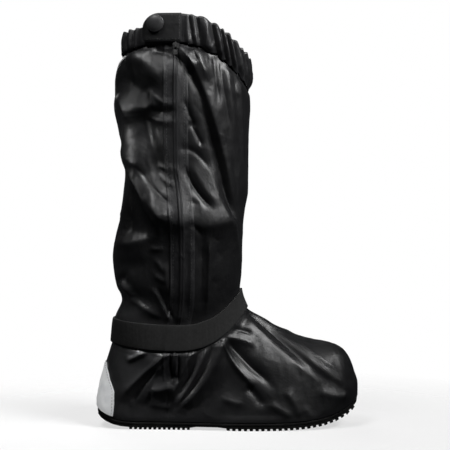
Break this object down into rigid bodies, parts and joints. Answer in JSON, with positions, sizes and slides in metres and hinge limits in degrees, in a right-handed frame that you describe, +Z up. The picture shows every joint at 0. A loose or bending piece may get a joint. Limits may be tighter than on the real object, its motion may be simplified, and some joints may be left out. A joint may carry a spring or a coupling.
{
  "type": "overboot",
  "caption": "Tall waterproof overboot worn over a shoe, with a gathered snap-closed collar, full-length side zip, ankle strap, reflective heel patch and thin lugged rubber sole.",
  "frame": {"origin": "on the floor under the middle of the boot's bounding box", "axes": "+X towards the toe, +Y towards the inner side of the foot, +Z up"},
  "size_m": [0.2896, 0.1375, 0.446],
  "materials": {
    "coated_nylon": "semi-gloss coated",
    "sole_rubber": "matte",
    "elastic_casing": "semi-gloss coated",
    "strap_webbing": "matte woven",
    "reflective_film": "silver retroreflective",
    "zip_cloth": "matte woven",
    "zip_coil": "satin",
    "zip_metal": "satin",
    "snap_paint": "satin"
  },
  "bodies": {
    "boot": {"outsole": "sole_rubber", "upper": "coated_nylon", "collar_cuff": "elastic_casing", "ankle_strap": "strap_webbing", "heel_patch": "reflective_film", "zip_tape_rear": "zip_cloth", "zip_tape_front": "zip_cloth", "zip_chain": "zip_coil", "zip_slider": "zip_metal", "snap_tab": "elastic_casing", "snap_cap": "snap_paint"},
    "pull_tab": {"zip_pull": "zip_metal"}
  },
  "joints": [
    {"name": "pull_swing", "type": "hinge", "parent": "boot", "child": "pull_tab", "pos_m": [-0.05502, -0.06133, 0.41037], "axis": [-1, 0.0033, -0.0013], "range_deg": [0, 160]}
  ]
}
